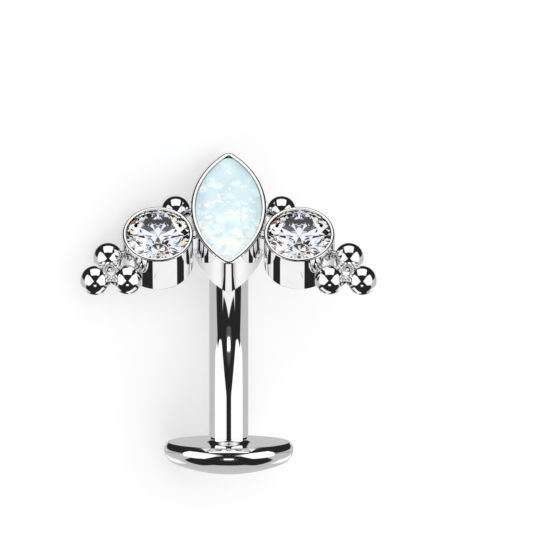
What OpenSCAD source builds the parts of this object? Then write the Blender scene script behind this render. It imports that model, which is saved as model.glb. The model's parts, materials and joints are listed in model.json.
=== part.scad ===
/* [Bar] */
// Thickness of the bar, which is the gauge of the piercing
bar_d = 1.6; // [1.4:0.1:1.8]
// Straight foot of the bar above the disc
bar_foot = 1.95; // [1:0.05:3]
// Radius of the bend, along the middle line of the bar
bend_r = 9.4; // [8:0.1:12]
// How far the bent end leans from the foot
bend_angle = 44.4; // [30:0.2:55]
// Straight stretch behind the open end of the bar
bar_tip = 0.3; // [0.3:0.05:1]
// Rounding of the rim round the open end
bar_edge = 0.18; // [0.05:0.01:0.25]

/* [Disc] */
// Widest measure across the disc
disc_d = 5.32; // [4:0.02:7]
// How far the side bulges out past the flat face on the skin side
disc_lip = 0.16; // [0.1:0.01:0.2]
// How far the widest line lies under the flat face
disc_shoulder = 0.27; // [0.2:0.01:0.4]
// Depth of the domed underside below the widest line
disc_dome = 1.04; // [0.8:0.02:1.4]
// Radius of the turn between the side and the dome
disc_turn_r = 0.65; // [0.4:0.05:0.75]

/* [Marquise cup] */
// Length of the pointed cup from tip to tip
marquise_l = 6; // [5:0.1:7]
// Width of the pointed cup
marquise_w = 3.1; // [2.6:0.1:3.6]
// Depth of the pointed cup from rim to back
marquise_depth = 1.9; // [1.6:0.05:2.4]
// Wall of the pointed cup
marquise_wall = 0.18; // [0.14:0.01:0.25]

/* [Round cups] */
// Measure across each round cup
cup_d = 2.9; // [2.4:0.1:3.2]
// Depth of each round cup from rim to back
cup_depth = 1.85; // [1.6:0.05:2.3]
// Wall of each round cup
cup_wall = 0.14; // [0.1:0.01:0.2]
// How far the middle of each round cup sits below the middle of the pointed cup
cup_drop = 1.39; // [0.8:0.01:1.8]
// Narrow gap between a round cup and the pointed cup, filled by a seam of solder
cup_gap = 0.07; // [0.04:0.01:0.1]
// Width of that seam
seam_w = 0.5; // [0.3:0.05:0.6]

/* [Beads] */
// Measure across each bead
bead_d = 1.2; // [1:0.05:1.4]
// How far the beads' centres lie under the rims
bead_sink = 0.92; // [0.7:0.01:1.1]
// Narrow gap between a bead and its neighbour's wall, bridged by solder
bead_gap = 0.05; // [0.02:0.01:0.08]
// Direction of the outer bead, downwards from straight across
trio_lean = 34; // [25:0.1:45]
// Gap between the two beads that touch the round cup, bridged by solder
pair_gap = 0.22; // [0.1:0.01:0.3]
// Gap from those two beads to the outer bead, bridged the same way
outer_gap = 0.12; // [0.05:0.01:0.2]
// Measure across a solder neck
neck_d = 0.4; // [0.3:0.02:0.5]

/* [Stones] */
// Clearance between a stone and its cup
stone_gap = 0.03; // [0.02:0.005:0.05]
// Depth of the opal below the rim
opal_depth = 0.8; // [0.6:0.05:1]
// Rise of the opal's dome over its edge
opal_rise = 0.35; // [0.2:0.05:0.5]
// How far a stone's edge lies under the rim
edge_sink = 0.05; // [0.03:0.01:0.1]
// Width of a round stone's table, as a share of the stone
table_share = 0.57; // [0.5:0.01:0.65]
// Slope of the crown
crown_angle = 34; // [30:0.5:37]
// Slope of the pavilion
pavilion_angle = 41; // [39:0.5:43]
// Height of a round stone's girdle, as a share of the stone
girdle_share = 0.03; // [0.02:0.005:0.05]
// How far the lower facets run down the pavilion, as a share of its slope
lower_share = 0.78; // [0.7:0.01:0.85]

/* [Pin] */
// Thickness of the pin
pin_d = 0.4; // [0.36:0.02:0.42]
// Length of the pin below the pointed cup
pin_l = 2.8; // [2:0.1:3]
// Thickness of the collar at the root of the pin
collar_d = 0.52; // [0.5:0.01:0.54]
// Length of the collar
collar_l = 0.6; // [0.4:0.05:1]
// Width of the bore in the bar's end
bore_d = 0.56; // [0.56:0.01:0.6]
// Width of the bore at its mouth
mouth_d = 0.7; // [0.62:0.02:0.8]
// Gap between the bar's end and the cup that sits on it
seat_gap = 0.02; // [0.01:0.01:0.05]

/* [Lie] */
// How far the disc's axis is tipped back from upright, so that the bar lies on its back
lie_back = 106.2; // [90:0.1:120]
// How far the part is rolled about the disc's axis, on to its left round cup
lie_roll = 40.6; // [-60:0.1:60]
// Turn on the table
lie_turn = 90; // [-180:0.1:180]

/* [Hidden] */
$fn = 96;
// Steps round the large arcs
wide_fn = 360;
eps = 0.01;

bar_r = bar_d / 2;
bore_r = bore_d / 2;
bead_r = bead_d / 2;
cup_r = cup_d / 2;
// Room past the pin's tip at the bottom of the bore
tip_room = 0.2;
// Height above the rims that the recesses are cut from
cut_h = 1;

// Arcs of the disc's side: shoulder, turn and dome, whose centres share the middle line
disc_r = disc_d / 2;
flat_r = disc_r - disc_lip;
shoulder_r = (pow(disc_lip, 2) + pow(disc_shoulder, 2)) / (2 * disc_lip);
turn_at = disc_r - disc_turn_r;
dome_r = (pow(turn_at, 2) + pow(disc_dome, 2) - pow(disc_turn_r, 2)) / (2 * (disc_dome - disc_turn_r));
dome_edge = atan2(dome_r - disc_dome, turn_at);

// The bar's middle line ends here, in the plane that the bar bends in
end_y = -bend_r * (1 - cos(bend_angle)) - bar_tip * sin(bend_angle);
end_z = bar_foot + bend_r * sin(bend_angle) + bar_tip * cos(bend_angle);

// The pointed outline is where two equal circles overlap, each this far from the middle
marquise_r = (pow(marquise_w / 2, 2) + pow(marquise_l / 2, 2)) / marquise_w;
marquise_off = marquise_r - marquise_w / 2;

// Solder runs this far into the walls that it joins
solder_bite = 0.05;

// Middle of the round cup on the right, beside the pointed cup
cup_reach = marquise_r + cup_r + cup_gap;
cup_at = [sqrt(pow(cup_reach, 2) - pow(cup_drop, 2)) - marquise_off, -cup_drop];

// Places of the four beads on the right, across and up in the plane of the faces
bead_reach = cup_r + bead_r + bead_gap;
pair_run = (bead_d + pair_gap) / 2;
half_spread = asin(pair_run / bead_reach);
trio_reach = bead_reach * cos(half_spread) + sqrt(pow(bead_d + outer_gap, 2) - pow(pair_run, 2));
function polar(r, a) = [r * cos(a), r * sin(a)];
// The crossing of two circles that lies to the right of the way from p to q
function crossing(p, rp, q, rq) =
    let (d = norm(q - p), u = (q - p) / d,
         a = (d * d + rp * rp - rq * rq) / (2 * d), h = sqrt(rp * rp - a * a))
    p + a * u + h * [u[1], -u[0]];
corner_bead = crossing(cup_at, bead_reach, [-marquise_off, 0], marquise_r + bead_r + bead_gap);
inner_bead = cup_at + polar(bead_reach, -trio_lean - half_spread);
upper_bead = cup_at + polar(bead_reach, -trio_lean + half_spread);
outer_bead = cup_at + polar(trio_reach, -trio_lean);
trio = [inner_bead, upper_bead, outer_bead];

// Round stones, and the pit in the cup's seat for a stone's point
stone_r = cup_r - cup_wall - stone_gap;
girdle_h = 2 * girdle_share * stone_r;
table_r = table_share * stone_r;
crown_h = (stone_r - table_r) * tan(crown_angle);
pavilion_h = stone_r * tan(pavilion_angle);
pit_r = 0.25;

// A seam stops short of the rims and of the backs by these shares of the cup's depth
seam_top = 0.25;
seam_foot = 0.1;

// How far the part reaches in a direction: the furthest of its outermost round forms, worked out
// in its upright frame and, for the cups and beads, in the frame of their rims
function about_x(v, a) = [v[0], v[1] * cos(a) - v[2] * sin(a), v[1] * sin(a) + v[2] * cos(a)];
function about_z(v, a) = [v[0] * cos(a) - v[1] * sin(a), v[0] * sin(a) + v[1] * cos(a), v[2]];
function flat(v) = norm([v[0], v[1]]);
function disc_reach(d) =
    let (steep = atan2(-d[2], flat(d)), level = -disc_shoulder * d[2])
    steep > dome_edge ? dome_r + (dome_r - disc_dome) * d[2] + level
    : steep > 0 ? disc_turn_r + turn_at * flat(d) + level
    : steep > -asin(disc_shoulder / shoulder_r) ? shoulder_r + (disc_r - shoulder_r) * flat(d) + level
    : flat(d) * flat_r;
function marquise_reach(d) =
    (abs(d[1]) * marquise_r > flat(d) * marquise_l / 2
        ? abs(d[1]) * marquise_l / 2
        : marquise_r * flat(d) - marquise_off * abs(d[0]))
    + max(0, -marquise_depth * d[2]);
function cup_reach_in(d) =
    cup_at[0] * abs(d[0]) + cup_at[1] * d[1] + cup_r * flat(d) + max(0, -cup_depth * d[2]);
function bead_reach_in(d) =
    let (reaches = [for (at = [corner_bead, each trio]) at[0] * abs(d[0]) + at[1] * d[1]])
    bead_r - bead_sink * d[2] + max(reaches);
function reach(world) =
    let (d = about_z(about_x(about_z(world, -lie_turn), lie_back), lie_roll),
         f = about_x(d, -bend_angle))
    max(disc_reach(d),
        [0, end_y, end_z] * d + (seat_gap + marquise_depth) * f[2]
            + max(marquise_reach(f), cup_reach_in(f), bead_reach_in(f)));

// Local frame at the bar's end: Z leaves the bar, Y runs up the faces
module at_bar_end() {
    translate([0, end_y, end_z]) rotate([bend_angle, 0, 0]) children();
}

// Local frame with Z = 0 in the plane of the cups' rims
module at_rims() {
    at_bar_end() translate([0, 0, seat_gap + marquise_depth]) children();
}

module both_sides() {
    children();
    mirror([1, 0, 0]) children();
}

// The part is drawn upright on its disc, then laid on the table with its box over the origin
module laid() {
    translate([(reach([-1, 0, 0]) - reach([1, 0, 0])) / 2,
               (reach([0, -1, 0]) - reach([0, 1, 0])) / 2, reach([0, 0, -1])])
        rotate([0, 0, lie_turn]) rotate([-lie_back, 0, 0]) rotate([0, 0, -lie_roll]) children();
}

// Half section of the disc and the bar's foot: a flat top, a tight shoulder and a two-arc dome
module base_section() {
    translate([0, -disc_shoulder]) {
        square([bar_r, disc_shoulder + bar_foot]);
        square([disc_r - shoulder_r, disc_shoulder]);
        intersection() {
            translate([disc_r - shoulder_r, 0]) circle(shoulder_r);
            square([disc_r, disc_shoulder]);
        }
        intersection() {
            translate([turn_at, 0]) circle(disc_turn_r);
            translate([0, -disc_dome]) square([disc_r, disc_dome]);
        }
        intersection() {
            translate([0, dome_r - disc_dome]) circle(dome_r, $fn = wide_fn);
            polygon([[0, 0], [0, -dome_r], [turn_at + dome_r / tan(dome_edge), -dome_r], [turn_at, 0]]);
        }
    }
}

module bar() {
    color("silver") laid() difference() {
        union() {
            rotate_extrude() base_section();
            translate([0, -bend_r, bar_foot]) rotate([90, 0, 90])
                rotate_extrude(angle = bend_angle) translate([bend_r, 0]) circle(bar_r);
            at_bar_end() translate([0, 0, -bar_tip]) rotate_extrude() {
                square([bar_r, bar_tip - bar_edge]);
                square([bar_r - bar_edge, bar_tip]);
                translate([bar_r - bar_edge, bar_tip - bar_edge]) circle(bar_edge);
            }
        }
        at_bar_end() rotate_extrude() bore_section();
    }
}

// Half section of the bore, with a sloping mouth and a blind end past the pin's tip
module bore_section() {
    bottom = -pin_l - tip_room;
    lip = (mouth_d - bore_d) / 2;
    polygon([[0, bottom], [bore_r, bottom], [bore_r, -lip], [bore_r + 2 * lip, lip], [0, lip]]);
}

// Pointed outline, drawn in by a margin
module marquise_outline(margin) {
    intersection() {
        translate([-marquise_off, 0]) circle(marquise_r - margin, $fn = wide_fn);
        translate([marquise_off, 0]) circle(marquise_r - margin, $fn = wide_fn);
    }
}

module marquise_cup() {
    floor_z = -opal_depth - stone_gap;
    difference() {
        translate([0, 0, -marquise_depth]) linear_extrude(marquise_depth) marquise_outline(0);
        translate([0, 0, floor_z]) linear_extrude(cut_h - floor_z) marquise_outline(marquise_wall);
    }
}

// Round cup with a straight wall, a sloping seat for the pavilion and a pit for its point
module round_cup() {
    inner_r = cup_r - cup_wall;
    seat = -edge_sink - girdle_h - stone_gap;
    seat_foot = seat - (inner_r - pit_r) * tan(pavilion_angle);
    pit_floor = seat - pavilion_h - stone_gap;
    difference() {
        translate([0, 0, -cup_depth]) cylinder(h = cup_depth, r = cup_r);
        rotate_extrude() polygon([
            [0, pit_floor], [pit_r, pit_floor], [pit_r, seat_foot],
            [inner_r, seat], [inner_r, cut_h], [0, cut_h]]);
    }
}

// Seam of solder between a round cup and the pointed cup, short of the rim and the back
module seam() {
    run = [-marquise_off, 0] - cup_at;
    translate([cup_at[0], cup_at[1], (seam_foot - 1) * cup_depth])
        rotate([0, 0, atan2(run[1], run[0])]) translate([cup_r - solder_bite, -seam_w / 2, 0])
            cube([cup_gap + 2 * solder_bite, seam_w, (1 - seam_foot - seam_top) * cup_depth]);
}

// Solder neck along a line in the beads' plane, from one distance to another
module neck(from, to, start, end) {
    run = to - from;
    translate([from[0], from[1], 0]) rotate([0, 90, atan2(run[1], run[0])])
        translate([0, 0, start]) cylinder(h = end - start, r = neck_d / 2);
}

// Bead whose seam line faces away from the solder between it and its neighbours
module bead(at, middle) {
    away = at - middle;
    translate([at[0], at[1], 0]) rotate([0, 0, atan2(away[1], away[0])]) sphere(bead_r);
}

// The four beads of one side and the solder that joins them to the cups and to each other
module beads() {
    start = bead_r - solder_bite - bead_gap;
    wall_bite = bead_r + bead_gap + solder_bite;
    translate([0, 0, -bead_sink]) {
        bead(corner_bead, cup_at);
        for (at = trio) bead(at, (trio[0] + trio[1] + trio[2]) / 3);
        for (at = [corner_bead, inner_bead, upper_bead])
            neck(at, cup_at, start, wall_bite);
        neck(corner_bead, [-marquise_off, 0], start, wall_bite);
        for (i = [0 : 2]) let (from = trio[i], to = trio[(i + 1) % 3])
            neck(from, to, start, norm(to - from) - start);
    }
}

// Pin below the pointed cup, straight as it is inside the bore
module pin() {
    mirror([0, 0, 1]) {
        translate([0, 0, -eps]) cylinder(h = collar_l + eps, r = collar_d / 2);
        cylinder(h = pin_l - pin_d / 2, r = pin_d / 2);
        translate([0, 0, pin_l - pin_d / 2]) sphere(pin_d / 2);
    }
}

module setting() {
    color("silver") laid() {
        at_bar_end() translate([0, 0, seat_gap]) pin();
        at_rims() {
            marquise_cup();
            both_sides() {
                translate([cup_at[0], cup_at[1], 0]) round_cup();
                seam();
                beads();
            }
        }
    }
}

// Half of the opal's dome: flat as far as the ridge, then an arc down to the edge
module opal_half(side) {
    ridge = marquise_off;
    reach = marquise_r - marquise_wall - stone_gap;
    half = reach - ridge;
    arc_r = (half * half + opal_rise * opal_rise) / (2 * opal_rise);
    top = opal_rise - edge_sink;
    translate([-side * ridge, 0, 0]) rotate_extrude() {
        translate([0, -opal_depth]) square([ridge, opal_depth + top]);
        intersection() {
            translate([ridge, top - arc_r]) circle(arc_r, $fn = wide_fn);
            translate([0, -opal_depth]) square([reach, opal_depth + top]);
        }
    }
}

module opal() {
    color("lightcyan") laid() at_rims() intersection() {
        opal_half(1);
        opal_half(-1);
    }
}

// Brilliant cut, built in rings from the table down to the point
module brilliant() {
    n = 8;
    half_step = 180 / n;
    star_r = (table_r * cos(half_step) + stone_r) / 2;
    star_z = (stone_r - star_r * cos(half_step)) * tan(crown_angle);
    lower_r = (1 - lower_share) * stone_r;
    lower_z = (stone_r - lower_r * cos(half_step)) * tan(pavilion_angle);
    function ring(count, r, z, turn) =
        [for (i = [0 : count - 1]) [each polar(r, 360 * i / count + turn), z]];
    points = concat(
        ring(n, table_r, crown_h, 0),
        ring(n, star_r, star_z, half_step),
        ring(2 * n, stone_r, 0, 0),
        ring(2 * n, stone_r, -girdle_h, 0),
        ring(n, lower_r, -girdle_h - lower_z, half_step),
        [[0, 0, -girdle_h - pavilion_h]]);
    // Where each ring's points start in the list, after the table's own
    star = n;
    rim = 2 * n;
    foot = 4 * n;
    lower = 6 * n;
    tip = 7 * n;
    faces = concat(
        [[for (i = [n - 1 : -1 : 0]) i]],
        [for (i = [0 : n - 1]) let (j = (i + 1) % n) each [
            [i, j, star + i],
            [j, star + j, star + i],
            [star + i, star + j, rim + 2 * j],
            [star + i, rim + 2 * i + 1, rim + 2 * i],
            [star + i, rim + 2 * j, rim + 2 * i + 1],
            [foot + 2 * i, foot + 2 * i + 1, lower + i],
            [foot + 2 * i + 1, foot + 2 * j, lower + i],
            [lower + i, foot + 2 * j, lower + j],
            [lower + i, lower + j, tip]]],
        [for (i = [0 : 2 * n - 1]) let (j = (i + 1) % (2 * n)) [rim + i, rim + j, foot + j, foot + i]]);
    polyhedron(points, faces);
}

module round_stone(side) {
    laid() at_rims() translate([side * cup_at[0], cup_at[1], -edge_sink]) brilliant();
}

module left_stone() {
    color("white") round_stone(-1);
}

module right_stone() {
    color("white") round_stone(1);
}

bar();
setting();
opal();
left_stone();
right_stone();
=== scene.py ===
"""A belly bar lying on a pale table: a curved bar with a domed disc foot, and a push-fit top with a
pointed opal, two round clear stones and eight beads.

Settings are in metres, as Blender's own are. The part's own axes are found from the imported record:
right, away and up are the axes of the bar as it would stand on its disc, seen from the front.
"""

import json
import math

import bpy
import numpy as np
from bpy.props import FloatProperty, FloatVectorProperty, PointerProperty
from mathutils import Matrix, Vector


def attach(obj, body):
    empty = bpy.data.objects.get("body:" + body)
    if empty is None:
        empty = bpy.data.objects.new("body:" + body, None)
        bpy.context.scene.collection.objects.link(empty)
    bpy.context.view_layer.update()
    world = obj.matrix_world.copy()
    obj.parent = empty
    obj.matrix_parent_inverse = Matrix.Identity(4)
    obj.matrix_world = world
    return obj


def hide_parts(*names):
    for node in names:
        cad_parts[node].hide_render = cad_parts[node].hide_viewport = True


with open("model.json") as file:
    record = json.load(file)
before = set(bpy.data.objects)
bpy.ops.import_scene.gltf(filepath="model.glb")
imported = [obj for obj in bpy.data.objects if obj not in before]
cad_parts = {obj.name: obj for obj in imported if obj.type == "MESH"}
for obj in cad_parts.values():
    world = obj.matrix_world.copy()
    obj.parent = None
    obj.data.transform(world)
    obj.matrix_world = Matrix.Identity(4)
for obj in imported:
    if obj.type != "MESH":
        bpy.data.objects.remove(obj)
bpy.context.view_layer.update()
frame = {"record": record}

bl_info = {
    "name": "Belly bar",
    "version": (1, 0, 0),
    "blender": (4, 5, 0),
    "location": "3D View > Sidebar > Belly Bar",
    "description": "Makes a curved belly bar with a jewelled top, its finishes and its stage",
    "category": "Object",
}

MM = 0.001

# How far the record's point on the disc's skin face lies from the bar's middle line
SKIN_POINT_OUT = 1.65 * MM
# An arc that ends on the axis that it is turned about stops just short of it, at this many degrees
NEAR_AXIS = 89.9
# How far solder reaches into what it joins
SOLDER_BITE = 0.05 * MM
# A step so small that an edge looks sharp
SHARP = 0.01 * MM
# Half the pointed cup's length, by which the height of the opal's flecks is counted
OPAL_HALF = 3 * MM


class BELLYBAR_PG_bar(bpy.types.PropertyGroup):
    """Sizes of the curved bar and its disc."""

    thickness: FloatProperty(
        name="Thickness", description="Thickness of the bar", default=1.6 * MM, unit="LENGTH")
    foot: FloatProperty(
        name="Foot", description="Straight foot above the disc", default=1.95 * MM, unit="LENGTH")
    bend_r: FloatProperty(
        name="Bend radius", description="Radius of the middle line", default=9.4 * MM, unit="LENGTH")
    tip: FloatProperty(
        name="Tip", description="Straight stretch at the open end", default=0.3 * MM, unit="LENGTH")
    edge: FloatProperty(
        name="Edge", description="Rounding of the open end", default=0.18 * MM, unit="LENGTH")
    bore_r: FloatProperty(
        name="Bore", description="Radius of the bore", default=0.28 * MM, unit="LENGTH")
    mouth: FloatProperty(
        name="Mouth", description="How far the bore's mouth flares", default=0.07 * MM, unit="LENGTH")
    bore_depth: FloatProperty(
        name="Bore depth", description="Depth of the blind bore", default=3 * MM, unit="LENGTH")
    disc_r: FloatProperty(
        name="Disc radius", description="Widest radius of the disc", default=2.66 * MM, unit="LENGTH")
    disc_lip: FloatProperty(
        name="Disc lip", description="Bulge of the side past the flat", default=0.16 * MM, unit="LENGTH")
    disc_shoulder: FloatProperty(
        name="Disc shoulder", description="Widest line below the flat", default=0.27 * MM, unit="LENGTH")
    disc_dome: FloatProperty(
        name="Disc dome", description="Dome below the widest line", default=1.04 * MM, unit="LENGTH")
    disc_bulge: FloatProperty(
        name="Disc bulge", description="Power of the shoulder's curve, 2 for nearly round", default=1.7)
    disc_turn_r: FloatProperty(
        name="Disc turn", description="Radius from side to dome", default=0.65 * MM, unit="LENGTH")
    root_r: FloatProperty(
        name="Root", description="Hollow where the bar meets the disc", default=0.13 * MM, unit="LENGTH")
    soft_edge: FloatProperty(
        name="Soft edge", description="Rounding of the disc's edge", default=0.03 * MM, unit="LENGTH")


class BELLYBAR_PG_top(bpy.types.PropertyGroup):
    """Sizes of the soldered top."""

    seat_gap: FloatProperty(
        name="Seat gap", description="Gap between bar and top", default=0.02 * MM, unit="LENGTH")
    marquise_l: FloatProperty(
        name="Pointed length", description="Pointed cup, tip to tip before the tips are rounded",
        default=6.06 * MM, unit="LENGTH")
    marquise_w: FloatProperty(
        name="Pointed width", description="Pointed cup, across", default=3.1 * MM, unit="LENGTH")
    marquise_depth: FloatProperty(
        name="Pointed depth", description="Pointed cup, rim to back", default=1.9 * MM, unit="LENGTH")
    marquise_wall: FloatProperty(
        name="Pointed wall", description="Wall of the pointed cup", default=0.18 * MM, unit="LENGTH")
    tip_r: FloatProperty(
        name="Tip rounding", description="Rounding of the tips", default=0.31 * MM, unit="LENGTH")
    cup_r: FloatProperty(
        name="Cup radius", description="Radius of a round cup", default=1.45 * MM, unit="LENGTH")
    cup_depth: FloatProperty(
        name="Cup depth", description="Round cup, rim to back", default=1.85 * MM, unit="LENGTH")
    cup_wall: FloatProperty(
        name="Cup wall", description="Wall of a round cup", default=0.14 * MM, unit="LENGTH")
    cup_drop: FloatProperty(
        name="Cup drop", description="Round cups below the pointed one", default=1.39 * MM, unit="LENGTH")
    cup_gap: FloatProperty(
        name="Cup gap", description="Gap filled by a seam", default=0.07 * MM, unit="LENGTH")
    rim_bevel: FloatProperty(
        name="Rim bevel", description="Size of the rims' outer bevels, against the usual one",
        default=1.0, min=0.1, max=1.8)
    bead_r: FloatProperty(
        name="Bead radius", description="Radius of a bead", default=0.6 * MM, unit="LENGTH")
    bead_sink: FloatProperty(
        name="Bead sink", description="Beads' centres below the rims", default=0.92 * MM, unit="LENGTH")
    bead_gap: FloatProperty(
        name="Bead gap", description="Gap from bead to wall", default=0.05 * MM, unit="LENGTH")
    pair_gap: FloatProperty(
        name="Pair gap", description="Gap between the two beads at the cup", default=0.22 * MM,
        unit="LENGTH")
    outer_gap: FloatProperty(
        name="Outer gap", description="Gap to the outer bead", default=0.12 * MM, unit="LENGTH")
    trio_lean: FloatProperty(
        name="Trio lean", description="Slope of the outer bead", default=math.radians(34), unit="ROTATION")
    waist_r: FloatProperty(
        name="Solder waist", description="Radius of a solder neck", default=0.14 * MM, unit="LENGTH")
    pin_r: FloatProperty(
        name="Pin radius", description="Radius of the pin", default=0.2 * MM, unit="LENGTH")
    pin_l: FloatProperty(
        name="Pin length", description="Pin below the pointed cup", default=2.8 * MM, unit="LENGTH")
    collar_r: FloatProperty(
        name="Collar radius", description="Radius of the collar", default=0.26 * MM, unit="LENGTH")
    collar_l: FloatProperty(
        name="Collar length", description="Length of the collar", default=0.6 * MM, unit="LENGTH")


class BELLYBAR_PG_stones(bpy.types.PropertyGroup):
    """Sizes and slopes of the opal and the cut stones, and of their seats."""

    gap: FloatProperty(
        name="Gap", description="Clearance between a stone and its cup", default=0.03 * MM, unit="LENGTH")
    edge_sink: FloatProperty(
        name="Edge sink", description="Stone's edge below the rim", default=0.05 * MM, unit="LENGTH")
    opal_depth: FloatProperty(
        name="Opal depth", description="Opal below the rim", default=0.8 * MM, unit="LENGTH")
    opal_rise: FloatProperty(
        name="Opal rise", description="Rise of the opal's dome", default=0.35 * MM, unit="LENGTH")
    lower_tip_r: FloatProperty(
        name="Lower tip", description="Rounding of the opal's lower tip", default=0.12 * MM, unit="LENGTH")
    upper_tip_r: FloatProperty(
        name="Upper tip", description="Rounding of the opal's upper tip", default=0.38 * MM, unit="LENGTH")
    girdle_share: FloatProperty(
        name="Girdle", description="Girdle height as a share of the stone's width", default=0.03,
        subtype="FACTOR", min=0, max=1)
    table_share: FloatProperty(
        name="Table", description="Table width as a share of the stone's width", default=0.57,
        subtype="FACTOR", min=0, max=1)
    star_share: FloatProperty(
        name="Star", description="Star facets' reach from the table to the girdle", default=0.5,
        subtype="FACTOR", min=0, max=1)
    lower_share: FloatProperty(
        name="Lower halves", description="Lower half facets' reach from girdle to point", default=0.78,
        subtype="FACTOR", min=0, max=1)
    crown: FloatProperty(
        name="Crown", description="Slope of the crown", default=math.radians(34), unit="ROTATION")
    pavilion: FloatProperty(
        name="Pavilion", description="Slope of the pavilion", default=math.radians(41), unit="ROTATION")
    pit_r: FloatProperty(
        name="Pit radius", description="Pit for the stone's point", default=0.25 * MM, unit="LENGTH")


class BELLYBAR_PG_finish(bpy.types.PropertyGroup):
    """Colours of the finishes."""

    metal: FloatVectorProperty(
        name="Metal", description="Colour of the polished metal", subtype="COLOR",
        default=(0.90, 0.90, 0.905), min=0, max=1)
    opal: FloatVectorProperty(
        name="Opal", description="Body colour of the opal", subtype="COLOR",
        default=(0.65, 0.83, 0.89), min=0, max=1)
    fleck: FloatVectorProperty(
        name="Flecks", description="Cream flecks in the opal", subtype="COLOR",
        default=(0.97, 0.94, 0.84), min=0, max=1)
    pale_fleck: FloatVectorProperty(
        name="Pale flecks", description="Whiter flecks in the opal", subtype="COLOR",
        default=(0.97, 0.96, 0.93), min=0, max=1)
    spark: FloatVectorProperty(
        name="Sparks", description="Small yellow-green sparks in the opal", subtype="COLOR",
        default=(0.86, 0.88, 0.45), min=0, max=1)
    stone: FloatVectorProperty(
        name="Clear stone", description="Colour of the clear stones", subtype="COLOR",
        default=(1.0, 1.0, 1.0), min=0, max=1)
    # Painted fire: tints painted into the clear stones' facets, in place of the colours that split light
    # gives
    warm_fire: FloatVectorProperty(
        name="Warm fire", description="Warm colour that some facets throw", subtype="COLOR",
        default=(1.0, 0.80, 0.62), min=0, max=1)
    cold_fire: FloatVectorProperty(
        name="Cold fire", description="Cold colour that some facets throw", subtype="COLOR",
        default=(0.70, 0.78, 1.0), min=0, max=1)


class BELLYBAR_PG_stage(bpy.types.PropertyGroup):
    """The table, the studio and the camera."""

    floor: FloatVectorProperty(
        name="Table", description="Colour of the table", subtype="COLOR",
        default=(0.62, 0.62, 0.62), min=0, max=1)
    floor_glow: FloatProperty(
        name="Table glow", description="Light that the table gives off by itself", default=0.46)
    card_half: FloatProperty(
        name="Card half", description="Half the width of the white card at its waist",
        default=4.64 * MM, unit="LENGTH")
    card_waist: FloatProperty(
        name="Card waist", description="From the disc's middle to the waist of the white card",
        default=4.02 * MM, unit="LENGTH")
    card_barbs: FloatProperty(
        name="Card barbs", description="From the disc's middle to the barbs of the white card",
        default=4.72 * MM, unit="LENGTH")
    card_point: FloatProperty(
        name="Card point", description="From the disc's middle to the point of the white card",
        default=6.84 * MM, unit="LENGTH")
    picture_width: FloatProperty(
        name="Picture width", description="Width that the picture takes in at the part",
        default=21.84 * MM, unit="LENGTH")
    raise_angle: FloatProperty(
        name="Camera height", description="Camera above the plane of the disc",
        default=math.radians(6), unit="ROTATION")
    distance: FloatProperty(
        name="Camera distance", description="From the camera to the part", default=1.0, unit="LENGTH")


class BELLYBAR_PG_settings(bpy.types.PropertyGroup):
    """All settings of the belly bar."""

    bar: PointerProperty(type=BELLYBAR_PG_bar)
    top: PointerProperty(type=BELLYBAR_PG_top)
    stones: PointerProperty(type=BELLYBAR_PG_stones)
    finish: PointerProperty(type=BELLYBAR_PG_finish)
    stage: PointerProperty(type=BELLYBAR_PG_stage)


def unit(vector):
    """The vector at length one."""
    vector = np.asarray(vector, float)
    return vector / np.linalg.norm(vector)


class Lie:
    """The part's own axes as it lies on the table, and the frame at the end of its bar."""

    def __init__(self, settings):
        record = frame["record"]
        mounts = {m["name"]: m for m in record["mounts"]}
        face = mounts["disc_skin_face"]
        self.up = unit(face["axis"])
        self.pull = unit(record["behaviour"]["joints"][0]["axis"])
        self.away = unit((self.pull @ self.up) * self.up - self.pull)
        self.right = np.cross(self.away, self.up)
        self.disc = np.array(face["pos_m"]) - SKIN_POINT_OUT * self.away
        self.bend = math.acos(self.pull @ self.up)
        bar = settings.bar
        across = bar.bend_r * (1 - math.cos(self.bend)) + bar.tip * math.sin(self.bend)
        along = bar.foot + bar.bend_r * math.sin(self.bend) + bar.tip * math.cos(self.bend)
        self.end = self.disc - across * self.away + along * self.up
        self.face_up = math.cos(self.bend) * self.away + math.sin(self.bend) * self.up
        self.rims = self.end + (settings.top.seat_gap + settings.top.marquise_depth) * self.pull

    def standing(self, points):
        """Points given right, away and up from the middle of the disc's flat face."""
        return self.disc + points @ np.array([self.right, self.away, self.up])

    def at_end(self, points):
        """Points given right, up the faces and out of the bore from the bar's open end."""
        return self.end + points @ np.array([self.right, self.face_up, self.pull])

    def at_rims(self, points):
        """Points given right, up the faces and forwards from the middle of the cups' rims."""
        return self.rims + points @ np.array([self.right, self.face_up, self.pull])


def settings_of(context):
    """The belly bar's settings, which the scene holds."""
    return context.scene.belly_bar


def arc(centre, radius, start, end, steps):
    """Points of a circle arc in a profile's plane, from one angle in degrees to another."""
    angle = np.radians(np.linspace(start, end, steps + 1))
    return np.column_stack([centre[0] + radius * np.cos(angle), centre[1] + radius * np.sin(angle)])


def line(start, end, steps):
    """Points evenly spaced on a straight stretch."""
    share = np.linspace(0, 1, steps + 1)[:, None]
    return (1 - share) * np.array(start) + share * np.array(end)


def path(*stretches):
    """One run of points through all the stretches, each joint kept once."""
    points = np.vstack(stretches)
    step = np.linalg.norm(np.diff(points, axis=0), axis=1)
    return points[np.concatenate([[True], step > 1e-9])]


def revolved(profile, around):
    """Rings of a profile turned about Z: each point (r, z) becomes a circle of radius r at height z."""
    angle = np.linspace(0, 2 * math.pi, around, endpoint=False)
    r, z = profile[:, :1], profile[:, 1:]
    return np.stack([r * np.cos(angle), r * np.sin(angle), z + 0 * angle], axis=-1)


def mirrored(rings):
    """The same rings on the other side of the part's middle plane, with faces still outwards."""
    return rings[:, ::-1] * np.array([-1, 1, 1])


def both_sides(parts):
    """The rings of some parts as they are on the right, and mirrored for the left."""
    return (("right", parts), ("left", [mirrored(rings) for rings in parts]))


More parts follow.
